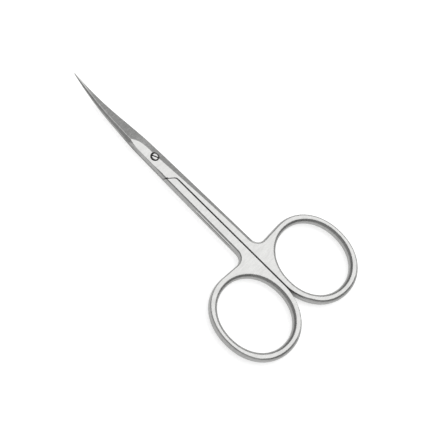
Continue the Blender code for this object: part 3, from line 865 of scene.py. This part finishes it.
def ring_painted_shade(x, along, side):
    """Painted shade between the rings: exp(-(way from the parting line / fade)^2) on the sides where
    the rings face each other.
    """
    near = np.exp(-(((np.abs(x) - SHANK_GAP / 2.0) / RING_GAP_FADE) ** 2))
    reached = smooth_step((-along - RING_GAP_START) / RING_GAP_LENGTH)
    return near * np.minimum(side / RING_GAP_FULL, 1.0) * RING_GAP_SHARE * reached


def mark_faces(s, w, mesh):
    """Write two shares on every face. side_share paints shade and roughens: it is 1 on a side wall, 0 on
    a flat and on the honed facet, an S between, and fixed on the blade's level ridge. The second share
    paints darker shade: it is the largest of the painted shade round the screw, beside the blade's root
    and between the rings, in the groove, and of 4 side (1 - side) on the edges before the grind."""
    normals = face_vectors(mesh, "normal")
    x, y, z = face_vectors(mesh, "center").T
    upright = np.abs(normals[:, 2])
    side = 1.0 - smooth_step((upright - SIDE_UPRIGHT) / (FLAT_UPRIGHT - SIDE_UPRIGHT))
    along = y - pivot_place(s)
    from_back = np.abs(z - np.where(x < 0.0, s.thickness, 0.0))
    honed = honed_share(s, along) * (np.abs(x) > s.joint_half_width - s.back_edge_break)
    # Painted shade in the groove's recess
    reach = s.groove_height * GROOVE_SHADE_REACH
    groove = honed * (np.abs(from_back - s.honed_drop) < reach) * GROOVE_SHADE_SHARE
    facet = honed * (from_back > s.back_edge_break) * (from_back < s.honed_drop - reach)
    # Painted shade on the round edges between flats and side walls before the grind: 4 side (1 - side)
    # is largest half way round
    before_grind = smooth_step((s.grind_start - along) / s.grind_start)
    edge = EDGE_SHADE_SHARE * 4.0 * side * (1.0 - side) * before_grind
    painted_shade = np.max([
        screw_painted_shade(s, w, x, along, z, upright, side),
        spine_painted_shade(s, along, normals[:, 0], side),
        ring_painted_shade(x, along, side),
        groove,
        edge,
    ], axis=0)
    # Painted shade on the blade's level ridge: a fixed side share darkens and roughens it. On the honed
    # facet the side walls' painted shade is left off, so that band of the flat wall shows lighter
    on_ridge = (along > s.grind_start) & (upright > RIDGE_UPRIGHT)
    side = np.where(on_ridge, RIDGE_SHADE_SHARE, side * (1.0 - facet))
    for name, share in (("side_share", side), ("painted_shade_share", painted_shade)):
        layer = mesh.attributes.new(name, "FLOAT", "FACE")
        layer.data.foreach_set("value", share.astype(np.float32))


def add_node(tree, kind, inputs, **settings):
    """Add a node with its settings. An input is a plain value, or another node's output to join."""
    node = tree.nodes.new("ShaderNode" + kind)
    for name, value in settings.items():
        setattr(node, name, value)
    fill_inputs(tree, node, inputs)
    return node


def fill_inputs(tree, node, inputs):
    """Set or join a node's inputs."""
    for socket, value in inputs.items():
        if isinstance(value, bpy.types.NodeSocket):
            tree.links.new(value, node.inputs[socket])
        else:
            node.inputs[socket].default_value = value


def blend(tree, value, limits, low, high, interpolation="LINEAR"):
    """The value's way from low to high while it crosses the limits, as an output."""
    start, end = limits
    inputs = {"Value": value, "From Min": start, "From Max": end, "To Min": low, "To Max": high}
    return add_node(tree, "MapRange", inputs, interpolation_type=interpolation).outputs["Result"]


def calculate(tree, operation, *values):
    """The result of an operation on plain values or other nodes' outputs, as an output."""
    return add_node(tree, "Math", dict(enumerate(values)), operation=operation).outputs["Value"]


def noise(tree, vector, spacing, detail):
    """A noise with a spacing in metres, as an output from 0 to 1."""
    inputs = {"Vector": vector, "Scale": 1.0 / spacing, "Detail": detail}
    return add_node(tree, "TexNoise", inputs).outputs["Fac"]


def new_material(name):
    """A material with nodes, its tree and its shader."""
    material = bpy.data.materials.new(name)
    material.use_nodes = True
    return material, material.node_tree, material.node_tree.nodes["Principled BSDF"]


def steel_material(name, steel, roughness, finish):
    """Satin steel: fine scratches and broader streaks across the tool, from noises on stretched object
    coordinates. The faces' side_share paints shade on it and roughens it, and their second share paints
    darker shade."""
    material, tree, shader = new_material(name)
    on_piece = add_node(tree, "TexCoord", {}).outputs["Object"]
    across = add_node(tree, "Mapping", {"Vector": on_piece, "Scale": BRUSH_STRETCH}).outputs["Vector"]
    grain = noise(tree, across, finish.grain_size, GRAIN_DETAIL)
    streaks = noise(tree, across, finish.brush_size, BRUSH_DETAIL)
    brushed = blend(tree, streaks, BRUSH_RANGE, 0.0, 1.0)
    dark, light = [(*[min(1.0, level * value) for value in steel], 1.0) for level in BRUSH_SHADES]
    shade = add_node(tree, "Mix", {"Factor": brushed, "A": dark, "B": light}, data_type="RGBA")

    side = add_node(tree, "Attribute", {}, attribute_name="side_share").outputs["Fac"]
    painted_shade = add_node(tree, "Attribute", {}, attribute_name="painted_shade_share").outputs["Fac"]
    # Painted shade: the side share darkens the colour on side walls, and the second share darkens it
    # further
    side_shaded = blend(tree, side, (0.0, 1.0), 1.0, finish.side_painted_shade)
    darkened = blend(tree, painted_shade, (0.0, 1.0), side_shaded, finish.painted_shade_level)
    tint = add_node(
        tree, "VectorMath", {0: shade.outputs["Result"], "Scale": darkened}, operation="SCALE")

    satin = blend(tree, brushed, (0.0, 1.0), *[roughness * spread for spread in BRUSH_ROUGHNESS])
    rough = add_node(tree, "Mix", {"Factor": side, "A": satin, "B": finish.side_roughness})
    bump = add_node(
        tree, "Bump", {"Height": grain, "Strength": GRAIN_STRENGTH, "Distance": finish.grain_depth})
    fill_inputs(tree, shader, {
        "Metallic": 1.0,
        "Base Color": tint.outputs["Vector"],
        "Roughness": rough.outputs["Result"],
        "Normal": bump.outputs["Normal"],
    })
    return material


def floor_material(name, pale, floor_glow):
    """Pale matt floor that shows nearly white: the paper's own colour, and a little glow to the eye and
    in the steel. Its shadow stays."""
    material, tree, shader = new_material(name)
    matt = {"Base Color": (*pale, 1.0), "Roughness": 1.0, "Specular IOR Level": 0.0}
    fill_inputs(tree, shader, matt)
    rays = add_node(tree, "LightPath", {})
    seen = rays.outputs["Is Camera Ray"]
    for ray in ("Is Glossy Ray", "Is Transmission Ray"):
        seen = calculate(tree, "MAXIMUM", seen, rays.outputs[ray])
    strength = calculate(tree, "MULTIPLY", seen, floor_glow)
    glow = add_node(tree, "Emission", {"Color": WHITE, "Strength": strength})
    both = add_node(tree, "AddShader", {0: shader.outputs["BSDF"], 1: glow.outputs["Emission"]})
    fill_inputs(tree, tree.nodes["Material Output"], {"Surface": both.outputs["Shader"]})
    return material


class ScissorsOperator:
    """What every operator of this file shares."""

    bl_options = {"REGISTER", "UNDO"}


def settings_of(context):
    """The sizes of the halves and of the screw, and the steel's finish."""
    scene = context.scene
    return scene.scissor_sizes, scene.screw_sizes, scene.steel_finish


def make_half(context, side, name, bore):
    """One half: its blank, less the other half's room, the shank's groove and the bore round the
    pivot, which is given as radii and heights from its top down."""
    s, w, finish = settings_of(context)
    cutters = [
        cutter_mesh(s, side, name + "_room"),
        turned_mesh(s, bore, name + "_bore"),
        groove_mesh(s, side, name + "_groove"),
    ]
    material = steel_material(name + "_satin_steel", finish.steel_colour, finish.roughness, finish)
    blank = blank_mesh(s, side, name + "_blank")
    return cut_and_finish(s, w, blank, cutters, name + "_blade_and_ring", material)


class SCISSORS_OT_upper_half(ScissorsOperator, bpy.types.Operator):
    """Make the half that carries the screw's head and the ring at +X"""

    bl_idname = "scissors.upper_half"
    bl_label = "Upper Half"

    def execute(self, context):
        s, w, _ = settings_of(context)
        top, sink_floor = s.thickness + CUTTER_MARGIN, s.thickness - w.head_depth
        sink = w.head_diameter / 2.0 + HEAD_CLEARANCE
        journal = w.journal_diameter / 2.0 + RUNNING_CLEARANCE
        half = make_half(context, UPPER, "upper", [
            (0.0, top), (sink, top), (sink, sink_floor),
            (journal, sink_floor), (journal, 0.0), (0.0, 0.0),
        ])
        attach(half, "upper")
        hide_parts("upper_half")
        return {"FINISHED"}


class SCISSORS_OT_lower_half(ScissorsOperator, bpy.types.Operator):
    """Make the half that holds the screw's threaded end and the ring at -X"""

    bl_idname = "scissors.lower_half"
    bl_label = "Lower Half"

    def execute(self, context):
        s, w, _ = settings_of(context)
        thread = w.thread_diameter / 2.0 + THREAD_CLEARANCE
        top, end = s.thickness, -CUTTER_MARGIN
        half = make_half(context, LOWER, "lower", [(0.0, top), (thread, top), (thread, end), (0.0, end)])
        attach(half, "lower")
        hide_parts("lower_half")
        return {"FINISHED"}


class SCISSORS_OT_pivot_screw(ScissorsOperator, bpy.types.Operator):
    """Make the slotted screw that the upper half turns on"""

    bl_idname = "scissors.pivot_screw"
    bl_label = "Pivot Screw"

    def execute(self, context):
        s, w, finish = settings_of(context)
        material = steel_material("screw_steel", finish.screw_colour, finish.screw_roughness, finish)
        blank = turned_mesh(s, screw_profile(s, w), "screw_blank")
        slot = slot_mesh(s, w, "driver_slot")
        screw = cut_and_finish(s, w, blank, [slot], "slotted_pivot_screw", material)
        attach(screw, "lower")
        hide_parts("pivot_screw")
        return {"FINISHED"}


def set_view(thing, position, back, turn=0.0):
    """Put a lamp or a camera in its place. It looks away from back, with the tool's long axis up, and
    is then turned about back."""
    along = Vector((0.0, 1.0, 0.0))
    along = (along - along.dot(back) * back).normalized()
    across = along.cross(back)
    right = math.cos(turn) * across - math.sin(turn) * along
    up = math.sin(turn) * across + math.cos(turn) * along
    axes = Matrix((right, up, back)).transposed().to_4x4()
    thing.matrix_world = Matrix.Translation(position) @ axes


def add_camera(stage):
    """The camera: it looks at the aim from a distance along back, which leans from +Z."""
    data = bpy.data.cameras.new("camera")
    data.lens = stage.focal_length
    data.sensor_width = SENSOR_WIDTH
    data.clip_start, data.clip_end = CAMERA_REACH
    camera = add_object("camera", data)
    back = Vector((
        -math.sin(stage.lean) * math.cos(stage.pitch),
        math.sin(stage.pitch),
        math.cos(stage.lean) * math.cos(stage.pitch),
    ))
    set_view(camera, Vector(stage.aim) + stage.distance * back, back, stage.turn)
    return camera


def add_lamp(name, position, aim, size, radiance):
    """A soft rectangular lamp: power is pi times its area times its brightness."""
    data = bpy.data.lights.new(name, "AREA")
    data.shape = "RECTANGLE"
    data.size, data.size_y = size
    data.energy = math.pi * size[0] * size[1] * radiance
    back = (Vector(position) - Vector(aim)).normalized()
    set_view(add_object(name, data), position, back)


def add_floor(stage):
    """The floor: a wide level disc at (r cos, r sin, height)."""
    angle = np.arange(FLOOR_CORNERS) * 2.0 * math.pi / FLOOR_CORNERS
    height = np.full(FLOOR_CORNERS, FLOOR_HEIGHT)
    ring = np.stack([FLOOR_RADIUS * np.cos(angle), FLOOR_RADIUS * np.sin(angle), height], axis=-1)
    mesh = bpy.data.meshes.new("floor")
    mesh.from_pydata(ring.tolist(), [], [list(range(FLOOR_CORNERS))])
    mesh.materials.append(floor_material("pale_floor", stage.floor_colour, stage.floor_glow))
    return add_object("floor", mesh)


def add_room(stage):
    """The world: plain walls whose brightness blends round the horizon and up to the ceiling."""
    world = bpy.data.worlds.new("room")
    world.use_nodes = True
    tree = world.node_tree
    towards = add_node(tree, "TexCoord", {}).outputs["Generated"]
    x, y, z = add_node(tree, "SeparateXYZ", {"Vector": towards}).outputs
    end = calculate(tree, "ABSOLUTE", y)
    soft = "SMOOTHSTEP"
    wall = blend(tree, x, SIDE_WALL_BLEND, stage.near_wall_light, stage.far_wall_light, soft)
    walls = blend(tree, end, END_WALL_BLEND, wall, stage.end_wall_light, soft)
    room = blend(tree, z, CEILING_BLEND, walls, stage.ceiling_light, soft)
    fill_inputs(tree, tree.nodes["Background"], {"Color": WHITE, "Strength": room})
    return world


class SCISSORS_OT_stage(ScissorsOperator, bpy.types.Operator):
    """Make the camera, the pale floor, the room's light and the large soft lamp"""

    bl_idname = "scissors.stage"
    bl_label = "Stage"

    def execute(self, context):
        scene = context.scene
        stage = scene.scissor_stage
        scene.camera = add_camera(stage)
        floor = add_floor(stage)
        add_lamp("key_softbox", KEY_PLACE, stage.aim, KEY_SIZE, stage.key_light)
        scene.world = add_room(stage)
        scene.view_settings.view_transform = "Standard"
        return {"FINISHED"}


class SCISSORS_PT_panel(bpy.types.Panel):
    """Lists the pieces and their sizes"""

    bl_idname = "SCISSORS_PT_panel"
    bl_label = "Nail Scissors"
    bl_space_type = "VIEW_3D"
    bl_region_type = "UI"
    bl_category = "Scissors"

    def draw(self, context):
        layout = self.layout
        for operator in PIECES:
            layout.operator(operator)
        for group in GROUPS:
            settings = getattr(context.scene, group)
            box = layout.box()
            for name in settings.bl_rna.properties.keys():
                if name not in ("rna_type", "name"):
                    box.prop(settings, name)


PIECES = ("scissors.stage", "scissors.lower_half", "scissors.pivot_screw", "scissors.upper_half")
GROUPS = {
    "scissor_sizes": HalfSizes,
    "screw_sizes": ScrewSizes,
    "steel_finish": SteelFinish,
    "scissor_stage": StageSettings,
}
CLASSES = (
    *GROUPS.values(),
    SCISSORS_OT_upper_half,
    SCISSORS_OT_lower_half,
    SCISSORS_OT_pivot_screw,
    SCISSORS_OT_stage,
    SCISSORS_PT_panel,
)


def register():
    """Register the classes and hang the settings on the scene."""
    for kind in CLASSES:
        bpy.utils.register_class(kind)
    for name, group in GROUPS.items():
        setattr(bpy.types.Scene, name, PointerProperty(type=group))


def unregister():
    """Take the settings off the scene and unregister the classes."""
    for name in GROUPS:
        delattr(bpy.types.Scene, name)
    for kind in reversed(CLASSES):
        bpy.utils.unregister_class(kind)


def main():
    """Register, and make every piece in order."""
    register()
    bpy.ops.scissors.stage()
    bpy.ops.scissors.lower_half()
    bpy.ops.scissors.pivot_screw()
    bpy.ops.scissors.upper_half()


if __name__ == "__main__":
    main()
